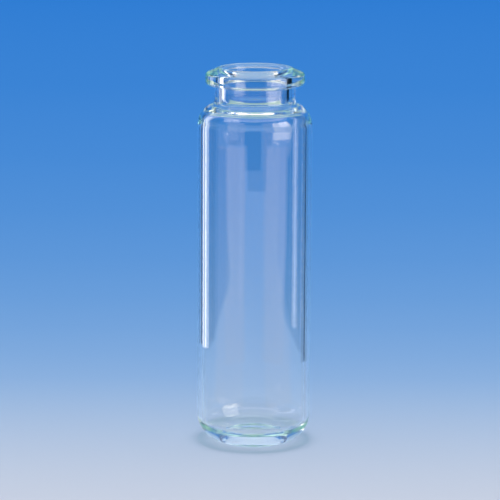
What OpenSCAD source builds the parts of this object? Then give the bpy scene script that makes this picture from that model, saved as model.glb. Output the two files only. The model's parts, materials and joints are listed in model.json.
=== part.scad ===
// Headspace sample vial: one piece of clear glass tubing, formed at both ends.
// A crimp finish with a bevelled flange, a short neck, a round shoulder, a straight
// body, and a round heel that stands on a narrow ring about a pushed-up base.
// The origin is on the axis at the plane that the vial stands on. Millimetres.

/* [Body] */
// Outside diameter of the straight body
body_d = 23; // [21:0.1:26]
// Height from the standing plane to the top of the lip
total_h = 76.7; // [46:0.1:125]
// Glass thickness of the straight body
body_wall = 1.2; // [0.9:0.05:1.5]

/* [Base] */
// Outer radius of the heel, where the body turns under into the base
heel_r = 5.5; // [4.8:0.1:6]
// Radius of the fold inside the heel
inner_heel_r = 2.2; // [1.6:0.1:3]
// Glass thickness of the base at the standing ring
base_t = 2; // [1.6:0.1:2.6]
// Width of the flat standing ring
ring_w = 0.25; // [0.2:0.05:1]
// Rise of the underside at the axis, inside the standing ring
pushup_h = 0.8; // [0.4:0.1:1.2]
// Slope of the inner floor, from the fold in the heel down to its middle, in degrees
floor_slope = 21; // [12:1:26]
// Radius of the raised middle of the inner floor
floor_foot_r = 5.9; // [4.5:0.1:6.4]
// Rise of the inner floor at the axis
floor_rise_h = 0.3; // [0.2:0.1:0.8]

/* [Shoulder and neck] */
// Outer radius of the shoulder
shoulder_r = 4.7; // [4.2:0.1:6]
// Radius of the shoulder inside the glass
inner_shoulder_r = 2.4; // [2:0.1:2.8]
// How far above the start of the outer shoulder the inner one starts
inner_shoulder_lift = 0.7; // [0:0.1:1.2]
// Outer fillet between the shoulder and the neck
neck_root_r = 1; // [0.6:0.1:2]
// Round inside, from the shoulder up into the bore
inner_root_r = 3.2; // [2.4:0.1:3.8]
// Outside diameter of the neck
neck_d = 16.1; // [15.6:0.1:16.6]
// Straight length of the neck, from its root fillet to the flange
neck_h = 3; // [2.5:0.1:6]
// Fillet between the neck and the underside of the flange
under_flange_r = 0.5; // [0.2:0.05:1]

/* [Crimp finish] */
// Outside diameter of the flange
flange_d = 19.9; // [19.4:0.1:20.3]
// Height of the finish, from the underside of the flange to the top of the lip
flange_h = 3.4; // [3:0.1:3.8]
// Fall of the bevel on top of the flange, in degrees from level
bevel_angle = 24; // [20:1:30]
// Rounding of the flange's upper and lower edges
flange_edge_r = 0.55; // [0.2:0.05:0.6]
// Bore through the mouth and the neck
mouth_d = 12.8; // [12.4:0.1:13.1]
// Round of the lip, from the bore over to the bevel
lip_r = 0.85; // [0.5:0.05:1]

/* [Hidden] */
$fn = 96;
body_r = body_d / 2;
cavity_r = body_r - body_wall;
mouth_r = mouth_d / 2;
neck_r = neck_d / 2;
flange_r = flange_d / 2;
// Height of the flange's underside, and of the neck's root below it
flange_z = total_h - flange_h;
neck_root_z = flange_z - neck_h;
// Height at which the straight body ends, set by the tangent shoulder and root arcs
shoulder_z = neck_root_z - arcs_rise(body_r, shoulder_r, neck_r, neck_root_r);
// Outer radius of the push-up, and of the standing ring that surrounds it
ring_r = body_r - heel_r;
pushup_r = ring_r - ring_w;
// Centre of the fold inside the heel, and the point where it meets the sloping floor
fold_r = cavity_r - inner_heel_r;
slope_top_r = fold_r + inner_heel_r * sin(floor_slope);
slope_top_z = base_t + (slope_top_r - floor_foot_r) * tan(floor_slope);
fold_z = slope_top_z + inner_heel_r * cos(floor_slope);
// Centre of the round of the lip
lip_pos = [mouth_r + lip_r, total_h - lip_r];
// Axial room for a cut to run past the lip
past_end = 5;

// Rise from the centre of an arc of radius convex_r, which ends the straight wall at
// wide_r, to the centre of the fillet of radius root_r that meets the wall at narrow_r.
function arcs_rise(wide_r, convex_r, narrow_r, root_r) =
    sqrt(pow(convex_r + root_r, 2) - pow(narrow_r + root_r - wide_r + convex_r, 2));

// Radius of the sphere whose cap is rise high on a foot of radius foot_r.
function cap_sphere_r(foot_r, rise) = (pow(foot_r, 2) + pow(rise, 2)) / (2 * rise);

// Half section of a bottle-shaped space: a wall at wide_r from bottom_z, an arc and a
// fillet that touch each other, and a neck at narrow_r up to top_z.
module bottle_section(wide_r, bottom_z, arc_z, convex_r, narrow_r, root_r, top_z) {
    arc_centre = [wide_r - convex_r, arc_z];
    root_z = arc_z + arcs_rise(wide_r, convex_r, narrow_r, root_r);
    root_centre = [narrow_r + root_r, root_z];
    translate([0, bottom_z])
        square([wide_r, arc_z - bottom_z]);
    intersection() {
        translate(arc_centre) circle(convex_r);
        translate([0, arc_z]) square([wide_r, convex_r]);
    }
    difference() {
        polygon([[0, arc_z], arc_centre, root_centre, [0, root_z]]);
        translate(root_centre) circle(root_r);
    }
    translate([0, arc_z])
        square([narrow_r, top_z - arc_z]);
}

// Half section of the outside of the heel, which turns the body in to the standing ring.
module heel_section() {
    square([ring_r, heel_r]);
    intersection() {
        translate([ring_r, heel_r]) circle(heel_r);
        square([body_r, heel_r]);
    }
}

// Half section of the foot of the inner space: its flat middle, the floor that slopes up
// from there, and the round fold that turns it into the wall.
module floor_section() {
    fold_pos = [fold_r, fold_z];
    slope_top = [slope_top_r, slope_top_z];
    polygon([[0, base_t], [floor_foot_r, base_t], slope_top, fold_pos, [0, fold_z]]);
    intersection() {
        translate(fold_pos) circle(inner_heel_r);
        polygon([fold_pos, slope_top, [cavity_r, slope_top_z], [cavity_r, fold_z]]);
    }
}

// Half section of a dome: the cap of a sphere that rises from a foot at foot_z.
module dome_section(foot_r, foot_z, rise) {
    sphere_r = cap_sphere_r(foot_r, rise);
    intersection() {
        translate([0, foot_z + rise - sphere_r]) circle(sphere_r);
        translate([0, foot_z - rise]) square([foot_r, 3 * rise]);
    }
}

// Half section of the crimp finish: flat underside, rounded edges, an upright band,
// the bevel, and the lip that rolls over into the bore.
module finish_section() {
    lean = [sin(bevel_angle), cos(bevel_angle)];
    edge_r = flange_r - flange_edge_r;
    bevel_start = lip_pos + lip_r * lean;
    bevel_run = edge_r + flange_edge_r * lean[0] - bevel_start[0];
    bevel_end = bevel_start + [bevel_run, -bevel_run * tan(bevel_angle)];
    upper_edge = bevel_end - flange_edge_r * lean;
    lower_edge = [edge_r, flange_z + flange_edge_r];
    polygon([
        [0, flange_z], [edge_r, flange_z], [flange_r, lower_edge[1]], [flange_r, upper_edge[1]],
        bevel_end, bevel_start, [lip_pos[0], total_h], [mouth_r, lip_pos[1]], [0, lip_pos[1]]
    ]);
    for (centre = [upper_edge, lower_edge])
        translate(centre) circle(flange_edge_r);
    translate(lip_pos) circle(lip_r);
}

// Half section of the fillet under the flange.
module under_flange_section() {
    fillet_pos = [neck_r + under_flange_r, flange_z - under_flange_r];
    difference() {
        translate([0, fillet_pos[1]]) square([fillet_pos[0], under_flange_r]);
        translate(fillet_pos) circle(under_flange_r);
    }
}

// Half section of the outside of the vial.
module outside_section() {
    difference() {
        union() {
            heel_section();
            bottle_section(body_r, heel_r, shoulder_z, shoulder_r, neck_r, neck_root_r, flange_z);
            under_flange_section();
            finish_section();
        }
        dome_section(pushup_r, 0, pushup_h);
    }
}

// Half section of the space inside, open at the mouth.
module cavity_section() {
    difference() {
        union() {
            floor_section();
            bottle_section(cavity_r, fold_z, shoulder_z + inner_shoulder_lift, inner_shoulder_r,
                mouth_r, inner_root_r, total_h + past_end);
        }
        dome_section(floor_foot_r, base_t, floor_rise_h);
    }
}

module glass_vial() {
    color([0.82, 0.91, 0.94, 0.4])
        rotate_extrude()
            difference() {
                outside_section();
                cavity_section();
            }
}

glass_vial();
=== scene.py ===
import json
import math

import bmesh
import bpy
from mathutils import Matrix, Vector


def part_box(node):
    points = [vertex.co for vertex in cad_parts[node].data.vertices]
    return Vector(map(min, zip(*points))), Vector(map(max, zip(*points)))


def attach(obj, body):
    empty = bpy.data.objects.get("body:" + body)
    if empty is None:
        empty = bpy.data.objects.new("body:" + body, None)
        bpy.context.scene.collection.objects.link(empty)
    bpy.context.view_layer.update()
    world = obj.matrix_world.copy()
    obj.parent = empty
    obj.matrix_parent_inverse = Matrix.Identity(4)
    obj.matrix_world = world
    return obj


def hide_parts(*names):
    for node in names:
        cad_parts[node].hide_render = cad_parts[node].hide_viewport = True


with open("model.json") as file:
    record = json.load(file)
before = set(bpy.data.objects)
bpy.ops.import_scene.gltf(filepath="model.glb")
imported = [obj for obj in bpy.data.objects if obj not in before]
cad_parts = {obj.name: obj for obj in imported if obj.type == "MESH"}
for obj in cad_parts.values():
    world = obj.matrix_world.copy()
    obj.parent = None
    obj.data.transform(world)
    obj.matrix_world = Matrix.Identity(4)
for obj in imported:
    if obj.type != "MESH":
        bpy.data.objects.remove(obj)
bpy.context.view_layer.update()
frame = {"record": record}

MM = 0.001

# The section of the glass, in millimetres and radians. The overall sizes come from the frame's box
# and mounts, and the rest are those of the part's source.
MOUNTS = {mount["name"]: mount for mount in frame["record"]["mounts"]}
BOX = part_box("glass_vial")
BODY_R = MOUNTS["body_barrel"]["dims"]["r_mm"]
FLANGE_R = MOUNTS["crimp_flange"]["dims"]["r_mm"]
MOUTH_R = MOUNTS["mouth_bore"]["dims"]["r_mm"]
TOTAL_H = BOX[1][2] / MM
WALL = 1.2
NECK_R = 8.05
HEEL_R = 5.5
INNER_HEEL_R = 2.2
BASE_T = 2.0
RING_W = 0.25
PUSHUP_H = 0.8
FLOOR_RISE_H = 0.3
FLOOR_FOOT_R = 5.9
FLOOR_SLOPE = math.radians(21)
SHOULDER_R = 4.7
INNER_SHOULDER_R = 2.4
INNER_SHOULDER_LIFT = 0.7
NECK_ROOT_R = 1.0
INNER_ROOT_R = 3.2
NECK_H = 3.0
UNDER_FLANGE_R = 0.5
FLANGE_H = 3.4
FLANGE_EDGE_R = 0.55
LIP_R = 0.85
BEVEL = math.radians(24)

# Fineness of the turned mesh: its sides, and the steps along an arc, a dome and a long run. SUPPORT
# is how far inside each end of a long run an extra point lies. Millimetres and radians.
SEGMENTS = 240
ARC_STEP = math.radians(3.0)
DOME_STEPS = 24
LONG_RUN = 0.6
RUN_STEP = 2.0
SUPPORT = 0.04
TINY = 1e-6
QUARTER = math.pi / 2

# The glass: how strongly it refracts, and the faint green that it takes on over a long way.
GLASS_IOR = 1.5
TINT_DENSITY = 8.0
TINT_COLOUR = (0.35, 0.82, 0.65, 1)
# The flange and the wall guide light round inside the glass, so it turns many corners. After
# LEAK_DEPTH of them it leaks out straight: a render aid, which keeps the rims from turning black.
MAX_BOUNCES = 128
LEAK_DEPTH = 100.0
MAX_TRANSPARENT = 16
# A path's depths are whole numbers, so this parts none from one or more.
ANY_DEPTH = 0.5
# Drawing lines and slow waves in the wall: depth in millimetres, fineness per metre, detail, and
# the share of that fineness that is left along the tube.
DRAW_DEPTH, DRAW_SCALE, DRAW_DETAIL, DRAW_STRETCH = 0.0006, 1400.0, 2.0, 0.02
WAVE_DEPTH, WAVE_SCALE, WAVE_DETAIL, WAVE_STRETCH = 0.001, 220.0, 1.0, 0.25
# Marks on the outside of the wall, such as a seed or a draw mark: azimuth in degrees from straight
# behind the vial, then height and radius in millimetres.
MARKS = [
    (-152, 64.8, 0.30),
    (158, 62.8, 0.35),
    (145, 63.1, 0.30),
    (153, 12.3, 0.22),
    (130, 45.1, 0.22),
    (126, 57.1, 0.30),
]
MARK_DEPTH = 0.02
# The glass's shadow: the range of slant over which it darkens, and what a surface lets through
# at the end of that range.
SLANT = (0.65, 0.92)
SLANT_COLOUR = (0.52, 0.63, 0.7, 1)

# The camera, in millimetres, radians and pixels of the 500-pixel frame. CLIP is in metres.
FRAME_PX = 500
CAMERA_POS = Vector((-0.865, -497.6, 136.7))
CAMERA_PITCH = 0.193
CAMERA_ROLL = 0.005
FOCAL_PX = 2500.5
SENSOR_W = 36.0
CLIP = (0.01, 50.0)

# The graduated floor, from pale in front to deep blue far behind, in screen values and in
# millimetres behind the vial. Up to FLOOR_BREAK the shade gathers speed, as the power FLOOR_CURVE.
# Beyond it the shade falls off, and is half-way to the far colour after FLOOR_FALL.
FLOOR_NEAR = (206, 212, 227)
FLOOR_MIDDLE = (140, 177, 223)
FLOOR_FAR = (28, 114, 209)
FLOOR_START, FLOOR_BREAK, FLOOR_END = -70, 50, 980
FLOOR_CURVE = 1.5
FLOOR_FALL = 200
FLOOR_STEPS = 8
# Half the side of the floor, in metres.
FLOOR_HALF = 6.0

# How much of the light on the floor comes from all round. The lamp overhead gives the rest, and
# its height is in metres.
WORLD_SHARE = 0.4
LAMP_WIDTH = math.radians(5)
LAMP_Z = 0.7
# The backdrop, and the greyer sky above it that the glass shows: the height over which the sky
# starts, as a sine, and its half width with a soft edge.
BACKDROP = (51, 126, 208)
SKY_START = (0.09, 0.14)
SKY_HALF, SKY_EDGE = 0.2, 0.02
SKY_COLOUR = (0.36, 0.56, 0.55, 1.0)

# The cards. A foot is an azimuth in degrees from straight behind the vial, positive to the right,
# and a distance in millimetres. Heights are in millimetres too.
BLACK = (0, 0, 0, 1)
WHITE = (1, 0.98, 0.98, 1)
TABLE_GAP = 0.5
# The white card at the left and its dimmer margins.
LEFT_R = 90
LEFT_Z = (TABLE_GAP, 180)
LEFT_WHITE_AZ, LEFT_WHITE_L = (-58, -62), 4.0
LEFT_PALE_AZ, LEFT_PALE_L = (-62, -67, -72), 2.4
LEFT_THIN_AZ, LEFT_THIN_L = (-48, -52), 0.6
# The dark flags on both sides, and the mats on the table that carry on from them.
FLAG_Z = (TABLE_GAP, 130)
UPPER_FLAG_Z = (57, 130)
LEFT_FLAG = [(-72, 89), (-77, 90), (-90, 102), (-99, 116)]
LEFT_THIN_FLAG = [(-37.5, 90), (-43, 90)]
RIGHT_FLAG = [(50.2, 75), (58, 75), (66.3, 75)]
RIGHT_UPPER_FLAG = [(58, 80), (66, 80), (74, 80)]
RIGHT_WIDE_FLAG = [(70, 86), (86, 98), (100, 111)]
MAT_Z = 0.6
LEFT_MAT_COLOUR = (0.5, 0.47, 0.6, 1)
LEFT_MAT = [(-99, 116), (-108, 134), (-116, 151), (-122, 168), (-120, 303), (-119, 410), (-99, 410)]
RIGHT_MAT = [
    (100, 111), (115, 129), (120.5, 147), (117.5, 172), (113, 220), (111, 302), (110, 383), (100, 410),
]
# The softboxes: span of azimuths, distance, heights, colour and strength.
SOFTBOXES = {
    "softbox_right": ((102, 142), 413, (3, 330), (1, 0.88, 0.67, 1), 3.6),
    "softbox_right_core": ((106, 127), 405, (150, 310), (1, 0.9, 0.75, 1), 7.0),
    "softbox_front": ((75, 285), 450, (500, 900), (1.9, 1.85, 1.8, 1.0), 1.0),
}
SOFTBOX_STEP = 6
# The table in front on each side, where a lamp lights it more: its span of azimuths, its reach,
# and its strength, which rises over a range of distances.
BRIGHT_SPANS = {"left": (-100, -160), "right": (104, 158)}
BRIGHT_REACH = (45, 413)
BRIGHT_STEPS = 7
BRIGHT_Z = 0.4
BRIGHT_COLOUR = (0.92, 0.78, 0.68, 1)
BRIGHT_RISE = (40, 160)
BRIGHT_L = (0.8, 1.04)
# The dark front: beyond the table's edge, and nearer on where the camera stands.
FRONT_Z = (TABLE_GAP, 330)
FRONT_R = 418
STAND_R = 320
FRONT_RIGHT_AZ = (145.6, 156)
STAND_AZ = (157, 165, 175, -178, -172, -166)
FRONT_LEFT_AZ = (-165, -160, -151, -142, -132, -123)
# A pale patch before it, at the left.
PATCH_R = 412
PATCH_AZ = (-123, -130, -138, -145)
PATCH_Z = (3, 260)
PATCH_COLOUR = (0.95, 0.95, 1, 1)
PATCH_L = 0.45


def srgb(red, green, blue):
    """A colour given in 0 to 255 screen values, as linear light."""
    def channel(value):
        value /= 255
        return value / 12.92 if value <= 0.04045 else ((value + 0.055) / 1.055) ** 2.4
    return (channel(red), channel(green), channel(blue), 1.0)


DARK = srgb(12, 30, 60)


def place_at(azimuth, distance, z):
    """A place round the vial, in metres. The azimuth is in degrees from straight behind it,
    positive to the right, and the distance and height are in millimetres."""
    a = math.radians(azimuth)
    return (distance * math.sin(a) * MM, distance * math.cos(a) * MM, z * MM)


# ---------------------------------------------------------------- the turned glass

def arc(centre, radius, start, end):
    """Points along an arc, from angle start to angle end, in radians."""
    count = max(2, math.ceil(abs(end - start) / ARC_STEP))
    angles = [start + (end - start) * i / count for i in range(count + 1)]
    return [(centre[0] + radius * math.cos(a), centre[1] + radius * math.sin(a)) for a in angles]


def arcs_rise(wide_r, convex_r, narrow_r, root_r):
    """Rise from a shoulder arc's centre to its root fillet's, where the two arcs touch."""
    return math.sqrt((convex_r + root_r) ** 2 - (narrow_r + root_r - wide_r + convex_r) ** 2)


def shoulder_arcs(wide_r, arc_z, convex_r, narrow_r, root_r):
    """The shoulder arc and its root fillet, from the wide wall up to the narrow one."""
    rise = arcs_rise(wide_r, convex_r, narrow_r, root_r)
    run = narrow_r + root_r - (wide_r - convex_r)
    turn = math.atan2(rise, run)
    shoulder = arc((wide_r - convex_r, arc_z), convex_r, 0, turn)
    root = arc((narrow_r + root_r, arc_z + rise), root_r, math.pi + turn, math.pi)
    return shoulder + root


def dome(foot_r, foot_z, rise):
    """The dome's half section, from its foot in to the axis."""
    sphere_r = (foot_r ** 2 + rise ** 2) / (2 * rise)
    centre_z = foot_z + rise - sphere_r
    foot_angle = math.asin(foot_r / sphere_r)
    angles = [foot_angle * (1 - i / DOME_STEPS) for i in range(DOME_STEPS + 1)]
    return [(sphere_r * math.sin(a), centre_z + sphere_r * math.cos(a)) for a in angles]


def shoulder_start():
    """Height at which the straight body ends."""
    return TOTAL_H - FLANGE_H - NECK_H - arcs_rise(BODY_R, SHOULDER_R, NECK_R, NECK_ROOT_R)


def outside_line():
    """Half section of the outside, from the axis under the base up to the lip's top."""
    flange_z = TOTAL_H - FLANGE_H
    ring_r = BODY_R - HEEL_R
    lean = (math.sin(BEVEL), math.cos(BEVEL))
    lip = (MOUTH_R + LIP_R, TOTAL_H - LIP_R)
    edge_r = FLANGE_R - FLANGE_EDGE_R
    bevel_start = (lip[0] + LIP_R * lean[0], lip[1] + LIP_R * lean[1])
    bevel_run = edge_r + FLANGE_EDGE_R * lean[0] - bevel_start[0]
    upper_z = bevel_start[1] - bevel_run * math.tan(BEVEL) - FLANGE_EDGE_R * lean[1]
    under_flange = (NECK_R + UNDER_FLANGE_R, flange_z - UNDER_FLANGE_R)
    line = dome(ring_r - RING_W, 0, PUSHUP_H)[::-1]
    line += arc((ring_r, HEEL_R), HEEL_R, -QUARTER, 0)
    line += shoulder_arcs(BODY_R, shoulder_start(), SHOULDER_R, NECK_R, NECK_ROOT_R)
    line += arc(under_flange, UNDER_FLANGE_R, math.pi, QUARTER)
    line += arc((edge_r, flange_z + FLANGE_EDGE_R), FLANGE_EDGE_R, -QUARTER, 0)
    line += arc((edge_r, upper_z), FLANGE_EDGE_R, 0, QUARTER - BEVEL)
    line += arc(lip, LIP_R, QUARTER - BEVEL, QUARTER)
    return line


def inside_line():
    """Half section of the inside, from the axis on the floor up to the lip's top."""
    cavity_r = BODY_R - WALL
    fold_r = cavity_r - INNER_HEEL_R
    slope_run = fold_r + INNER_HEEL_R * math.sin(FLOOR_SLOPE) - FLOOR_FOOT_R
    fold_z = BASE_T + slope_run * math.tan(FLOOR_SLOPE) + INNER_HEEL_R * math.cos(FLOOR_SLOPE)
    arc_z = shoulder_start() + INNER_SHOULDER_LIFT
    line = dome(FLOOR_FOOT_R, BASE_T, FLOOR_RISE_H)[::-1]
    line += arc((fold_r, fold_z), INNER_HEEL_R, FLOOR_SLOPE - QUARTER, 0)
    line += shoulder_arcs(cavity_r, arc_z, INNER_SHOULDER_R, MOUTH_R, INNER_ROOT_R)
    line += arc((MOUTH_R + LIP_R, TOTAL_H - LIP_R), LIP_R, math.pi, QUARTER)
    return line


def supported(line):
    """The line with points just inside each end of its long straight runs, which keep
    the smooth shading true where a run meets an arc."""
    out = [line[0]]
    for (r0, z0), (r1, z1) in zip(line, line[1:]):
        length = math.hypot(r1 - r0, z1 - z0)
        if length < TINY:
            continue
        if length > LONG_RUN:
            steps = max(1, round(length / RUN_STEP))
            end = SUPPORT / length
            shares = [end] + [i / steps for i in range(1, steps)] + [1 - end]
            out += [(r0 + (r1 - r0) * s, z0 + (z1 - z0) * s) for s in shares]
        out.append((r1, z1))
    return out


def ring_of_verts(mesh, radius, z):
    """One ring of the turned mesh, or its single point on the axis. Millimetres."""
    if radius < TINY:
        return [mesh.verts.new((0, 0, z * MM))]
    turns = [2 * math.pi * i / SEGMENTS for i in range(SEGMENTS)]
    return [mesh.verts.new((radius * MM * math.cos(a), radius * MM * math.sin(a), z * MM)) for a in turns]


def turned_piece(name, line):
    """A closed solid of revolution from a half section that starts and ends on the axis."""
    mesh = bmesh.new()
    rings = [ring_of_verts(mesh, radius, z) for radius, z in line]
    for low, high in zip(rings, rings[1:]):
        for i in range(SEGMENTS):
            j = (i + 1) % SEGMENTS
            if len(low) == 1:
                mesh.faces.new((low[0], high[j], high[i]))
            elif len(high) == 1:
                mesh.faces.new((low[i], low[j], high[0]))
            else:
                mesh.faces.new((low[i], low[j], high[j], high[i]))
    bmesh.ops.recalc_face_normals(mesh, faces=mesh.faces)
    data = bpy.data.meshes.new(name)
    mesh.to_mesh(data)
    mesh.free()
    data.polygons.foreach_set("use_smooth", [True] * len(data.polygons))
    piece = bpy.data.objects.new(name, data)
    bpy.context.collection.objects.link(piece)
    return piece


# ---------------------------------------------------------------- materials

class Nodes:
    """A short way to add and join the nodes of one material or world."""

    def __init__(self, owner):
        owner.use_nodes = True
        self.tree = owner.node_tree
        self.tree.nodes.clear()

    def add(self, kind, inputs=None, **settings):
        node = self.tree.nodes.new(kind)
        for key, value in settings.items():
            setattr(node, key, value)
        for key, value in (inputs or {}).items():
            if isinstance(value, bpy.types.NodeSocket):
                self.tree.links.new(value, node.inputs[key])
            else:
                node.inputs[key].default_value = value
        return node

    def place(self, kind="Object"):
        return self.add("ShaderNodeTexCoord").outputs[kind]

    def maths(self, operation, *values):
        return self.add("ShaderNodeMath", dict(enumerate(values)), operation=operation).outputs[0]

    def remap(self, value, span, result=(0.0, 1.0), shape="LINEAR"):
        values = dict(enumerate((value, *span, *result)))
        return self.add("ShaderNodeMapRange", values, interpolation_type=shape).outputs[0]

    def blend_colours(self, share, first, second):
        # In a colour Mix node, sockets 6 and 7 are the two colours, and output 2 is the result.
        return self.add("ShaderNodeMix", {0: share, 6: first, 7: second}, data_type="RGBA").outputs[2]

    def blend_shaders(self, share, first, second):
        return self.add("ShaderNodeMixShader", {0: share, 1: first, 2: second}).outputs[0]


def new_material(name):
    material = bpy.data.materials.new(name)
    return material, Nodes(material)


def wall_relief(nodes):
    """Height of the wall's fine relief: lines along the tube, slow waves and small marks."""
    place = nodes.place()
    along = nodes.add("ShaderNodeMapping", {0: place, "Scale": (1.0, 1.0, DRAW_STRETCH)})
    lines = nodes.add("ShaderNodeTexNoise", {
        "Vector": along.outputs[0], "Scale": DRAW_SCALE, "Detail": DRAW_DETAIL,
    })
    slow = nodes.add("ShaderNodeMapping", {0: place, "Scale": (1.0, 1.0, WAVE_STRETCH)})
    waves = nodes.add("ShaderNodeTexNoise", {
        "Vector": slow.outputs[0], "Scale": WAVE_SCALE, "Detail": WAVE_DETAIL,
    })
    drawn = nodes.maths("MULTIPLY", lines.outputs[0], DRAW_DEPTH)
    height = nodes.maths("MULTIPLY_ADD", waves.outputs[0], WAVE_DEPTH, drawn)
    for azimuth, z, radius in MARKS:
        spot = place_at(azimuth, BODY_R, z)
        away = nodes.add("ShaderNodeVectorMath", {0: place, 1: spot}, operation="DISTANCE")
        mark = nodes.remap(away.outputs["Value"], (0.0, radius * MM), (MARK_DEPTH, 0.0), "SMOOTHSTEP")
        height = nodes.maths("ADD", height, mark)
    return height


def glass_material():
    material, nodes = new_material("clear_glass")
    bump = nodes.add("ShaderNodeBump", {"Strength": 1.0, "Distance": MM, "Height": wall_relief(nodes)})
    glass = nodes.add("ShaderNodeBsdfPrincipled", {
        "Base Color": (1, 1, 1, 1),
        "Roughness": 0.0,
        "IOR": GLASS_IOR,
        "Transmission Weight": 1.0,
        "Normal": bump.outputs[0],
    })
    # A shadow ray passes straight through. It keeps less light where it meets the glass at a slant.
    facing = nodes.add("ShaderNodeLayerWeight", {"Blend": 0.5})
    slant = nodes.remap(facing.outputs["Facing"], SLANT, shape="SMOOTHSTEP")
    passed = nodes.blend_colours(slant, (1, 1, 1, 1), SLANT_COLOUR)
    clear = nodes.add("ShaderNodeBsdfTransparent", {"Color": passed})
    path = nodes.add("ShaderNodeLightPath")
    surface = nodes.blend_shaders(path.outputs["Is Shadow Ray"], glass.outputs[0], clear.outputs[0])
    # Light that is guided on and on leaks out straight, to what lies behind.
    lost = nodes.maths("GREATER_THAN", path.outputs["Ray Depth"], LEAK_DEPTH)
    leak = nodes.add("ShaderNodeBsdfTransparent")
    surface = nodes.blend_shaders(lost, surface, leak.outputs[0])
    tint = nodes.add("ShaderNodeVolumeAbsorption", {"Color": TINT_COLOUR, "Density": TINT_DENSITY})
    nodes.add("ShaderNodeOutputMaterial", {"Surface": surface, "Volume": tint.outputs[0]})
    return material


def between(first, second, share):
    """The colour a share of the way from the first to the second, in screen values."""
    return srgb(*(a + (b - a) * share for a, b in zip(first, second)))


def floor_stops():
    """Distances behind the vial and colours of the graduated floor, over its two runs."""
    stops = []
    for i in range(FLOOR_STEPS):
        share = i / FLOOR_STEPS
        distance = FLOOR_START + (FLOOR_BREAK - FLOOR_START) * share
        stops.append((distance, between(FLOOR_NEAR, FLOOR_MIDDLE, share ** FLOOR_CURVE)))
    last = (FLOOR_END - FLOOR_BREAK) / (FLOOR_END - FLOOR_BREAK + FLOOR_FALL)
    for i in range(FLOOR_STEPS + 1):
        share = last * i / FLOOR_STEPS
        distance = FLOOR_BREAK + FLOOR_FALL * share / (1 - share)
        stops.append((distance, between(FLOOR_MIDDLE, FLOOR_FAR, share)))
    return stops


def floor_material():
    material, nodes = new_material("stage_floor")
    stops = floor_stops()
    split = nodes.add("ShaderNodeSeparateXYZ", {0: nodes.place()})
    share = nodes.remap(split.outputs["Y"], (FLOOR_START * MM, FLOOR_END * MM))
    ramp = nodes.add("ShaderNodeValToRGB", {0: share})
    shades = ramp.color_ramp.elements
    shades[0].color = stops[0][1]
    shades[1].color = stops[-1][1]
    for distance, colour in stops[1:-1]:
        shade = shades.new((distance - FLOOR_START) / (FLOOR_END - FLOOR_START))
        shade.color = colour
    surface = nodes.add("ShaderNodeBsdfDiffuse", {"Color": ramp.outputs[0]})
    nodes.add("ShaderNodeOutputMaterial", {"Surface": surface.outputs[0]})
    return material


def glow_material(name, colour, strength_of):
    """A glow that shows only along a path that the glass has reflected. A view straight
    through the glass passes the card and meets the floor."""
    material, nodes = new_material(name)
    glow = nodes.add("ShaderNodeEmission", {"Color": colour, "Strength": strength_of(nodes)})
    path = nodes.add("ShaderNodeLightPath")
    reflected = nodes.maths("GREATER_THAN", path.outputs["Glossy Depth"], ANY_DEPTH)
    unseen = nodes.add("ShaderNodeBsdfTransparent")
    surface = nodes.blend_shaders(reflected, unseen.outputs[0], glow.outputs[0])
    nodes.add("ShaderNodeOutputMaterial", {"Surface": surface})
    return material


# ---------------------------------------------------------------- the stage

def make_floor():
    mesh = bpy.data.meshes.new("stage_floor")
    side = FLOOR_HALF
    corners = [(-side, -side, 0), (side, -side, 0), (side, side, 0), (-side, side, 0)]
    mesh.from_pydata(corners, [], [(0, 1, 2, 3)])
    mesh.materials.append(floor_material())
    floor = bpy.data.objects.new("stage_floor", mesh)
    bpy.context.collection.objects.link(floor)


def make_world():
    """The backdrop and sky that are seen, and the even white light that falls on the floor."""
    world = bpy.data.worlds.new("studio")
    bpy.context.scene.world = world
    nodes = Nodes(world)
    split = nodes.add("ShaderNodeSeparateXYZ", {0: nodes.place("Generated")})
    aside = nodes.maths("ABSOLUTE", split.outputs["X"])
    inner = nodes.remap(aside, (SKY_HALF - SKY_EDGE, SKY_HALF + SKY_EDGE), (1.0, 0.0))
    above = nodes.remap(split.outputs["Z"], SKY_START)
    sky = nodes.blend_colours(nodes.maths("MULTIPLY", inner, above), srgb(*BACKDROP), SKY_COLOUR)
    seen = nodes.add("ShaderNodeBackground", {"Color": sky, "Strength": 1.0})
    light = nodes.add("ShaderNodeBackground", {"Color": (1, 1, 1, 1), "Strength": WORLD_SHARE})
    path = nodes.add("ShaderNodeLightPath")
    shown = nodes.maths("MAXIMUM", path.outputs["Is Camera Ray"], path.outputs["Is Glossy Ray"])
    shown = nodes.maths("MAXIMUM", shown, path.outputs["Is Transmission Ray"])
    # Light that reaches the floor through the glass is the plain light of the studio too.
    direct = nodes.maths("LESS_THAN", path.outputs["Diffuse Depth"], ANY_DEPTH)
    shown = nodes.maths("MULTIPLY", shown, direct)
    surface = nodes.blend_shaders(shown, light.outputs[0], seen.outputs[0])
    nodes.add("ShaderNodeOutputWorld", {"Surface": surface})


def make_lamp():
    data = bpy.data.lights.new("lamp_over", "SUN")
    data.angle = LAMP_WIDTH
    data.energy = (1 - WORLD_SHARE) * math.pi
    lamp = bpy.data.objects.new("lamp_over", data)
    lamp.location = (0, 0, LAMP_Z)
    lamp.visible_glossy = False
    lamp.visible_transmission = False
    bpy.context.collection.objects.link(lamp)


def hidden_stage(name, verts, faces, material):
    """A card of the stage. It casts no shadow, and the camera and the floor see it only by way
    of the glass."""
    mesh = bpy.data.meshes.new(name)
    mesh.from_pydata(verts, [], faces)
    mesh.materials.append(material)
    card = bpy.data.objects.new(name, mesh)
    bpy.context.collection.objects.link(card)
    card.visible_camera = False
    card.visible_diffuse = False
    card.visible_shadow = False
    card.visible_volume_scatter = False


def ring_feet(azimuths, distance):
    return [(azimuth, distance) for azimuth in azimuths]


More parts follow.
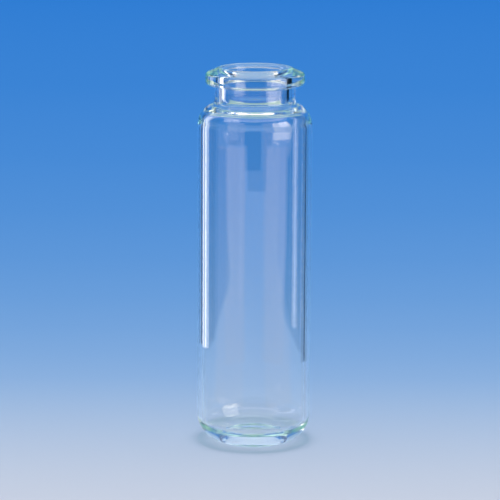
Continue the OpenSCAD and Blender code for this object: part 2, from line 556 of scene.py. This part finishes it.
def make_wall(name, feet, heights, colour, strength):
    """An upright wall over a line of feet, lit evenly."""
    verts = [place_at(azimuth, distance, z) for z in heights for azimuth, distance in feet]
    count = len(feet)
    faces = [(i, i + 1, count + i + 1, count + i) for i in range(count - 1)]
    hidden_stage(name, verts, faces, glow_material(name, colour, lambda nodes: strength))


def make_softbox(name, span, distance, heights, colour, strength):
    """An upright wall round the vial, over a span of azimuths."""
    steps = max(1, round(abs(span[1] - span[0]) / SOFTBOX_STEP))
    azimuths = [span[0] + (span[1] - span[0]) * i / steps for i in range(steps + 1)]
    make_wall(name, ring_feet(azimuths, distance), heights, colour, strength)


def make_mat(name, corners, colour):
    """A flat mat on the table."""
    verts = [place_at(azimuth, distance, MAT_Z) for azimuth, distance in corners]
    hidden_stage(name, verts, [tuple(range(len(verts)))], glow_material(name, colour, lambda nodes: 1.0))


def bright_strength(nodes):
    """Strength of the brighter table, which rises with the distance from the vial."""
    reach = nodes.add("ShaderNodeVectorMath", {0: nodes.place()}, operation="LENGTH")
    rise = [distance * MM for distance in BRIGHT_RISE]
    return nodes.remap(reach.outputs["Value"], rise, BRIGHT_L)


def make_bright_table(name, span):
    """A part of the table in front that a lamp lights more, as the glass reflects it."""
    azimuths = [span[0] + (span[1] - span[0]) * i / BRIGHT_STEPS for i in range(BRIGHT_STEPS + 1)]
    verts = [place_at(azimuth, distance, BRIGHT_Z) for azimuth in azimuths for distance in BRIGHT_REACH]
    faces = [(i, i + 1, i + 3, i + 2) for i in range(0, 2 * BRIGHT_STEPS, 2)]
    hidden_stage(name, verts, faces, glow_material(name, BRIGHT_COLOUR, bright_strength))


def make_cards():
    make_wall("card_left_white", ring_feet(LEFT_WHITE_AZ, LEFT_R), LEFT_Z, WHITE, LEFT_WHITE_L)
    make_wall("card_left_pale", ring_feet(LEFT_PALE_AZ, LEFT_R), LEFT_Z, WHITE, LEFT_PALE_L)
    make_wall("card_left_thin", ring_feet(LEFT_THIN_AZ, LEFT_R), LEFT_Z, WHITE, LEFT_THIN_L)
    make_wall("flag_left", LEFT_FLAG, FLAG_Z, DARK, 1.0)
    make_wall("flag_right", RIGHT_FLAG, FLAG_Z, BLACK, 0.0)
    make_wall("flag_right_top", RIGHT_UPPER_FLAG, UPPER_FLAG_Z, BLACK, 0.0)
    make_wall("flag_left_thin", LEFT_THIN_FLAG, FLAG_Z, DARK, 1.0)
    make_wall("flag_right_wide", RIGHT_WIDE_FLAG, FLAG_Z, DARK, 1.0)
    make_mat("mat_left", LEFT_MAT, LEFT_MAT_COLOUR)
    make_mat("mat_right", RIGHT_MAT, DARK)
    for name, settings in SOFTBOXES.items():
        make_softbox(name, *settings)
    for side, span in BRIGHT_SPANS.items():
        make_bright_table("floor_front_" + side, span)
    front = ring_feet(FRONT_RIGHT_AZ, FRONT_R) + ring_feet(STAND_AZ, STAND_R)
    front += ring_feet(FRONT_LEFT_AZ, FRONT_R)
    make_wall("front_dark", front, FRONT_Z, DARK, 1.0)
    make_wall("front_left_pale", ring_feet(PATCH_AZ, PATCH_R), PATCH_Z, PATCH_COLOUR, PATCH_L)


def make_camera():
    data = bpy.data.cameras.new("camera")
    data.sensor_fit = "HORIZONTAL"
    data.sensor_width = SENSOR_W
    data.lens = FOCAL_PX / FRAME_PX * SENSOR_W
    data.clip_start, data.clip_end = CLIP
    camera = bpy.data.objects.new("camera", data)
    bpy.context.collection.objects.link(camera)
    forward = Vector((0, math.cos(CAMERA_PITCH), -math.sin(CAMERA_PITCH)))
    level_up = Vector((0, math.sin(CAMERA_PITCH), math.cos(CAMERA_PITCH)))
    level_right = Vector((1, 0, 0))
    c, s = math.cos(CAMERA_ROLL), math.sin(CAMERA_ROLL)
    right = c * level_right + s * level_up
    up = c * level_up - s * level_right
    turn = Matrix((right, up, -forward)).transposed().to_4x4()
    camera.matrix_world = Matrix.Translation(CAMERA_POS * MM) @ turn
    bpy.context.scene.camera = camera


# ---------------------------------------------------------------- the scene

make_camera()
vial = turned_piece("vial_glass", supported(outside_line()) + supported(inside_line())[::-1][1:])
vial.data.materials.append(glass_material())
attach(vial, "root")
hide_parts("glass_vial")
make_floor()
make_world()
make_cards()
make_lamp()

scene = bpy.context.scene
scene.view_settings.view_transform = "Standard"
scene.cycles.max_bounces = MAX_BOUNCES
scene.cycles.transmission_bounces = MAX_BOUNCES
scene.cycles.glossy_bounces = MAX_BOUNCES
scene.cycles.transparent_max_bounces = MAX_TRANSPARENT
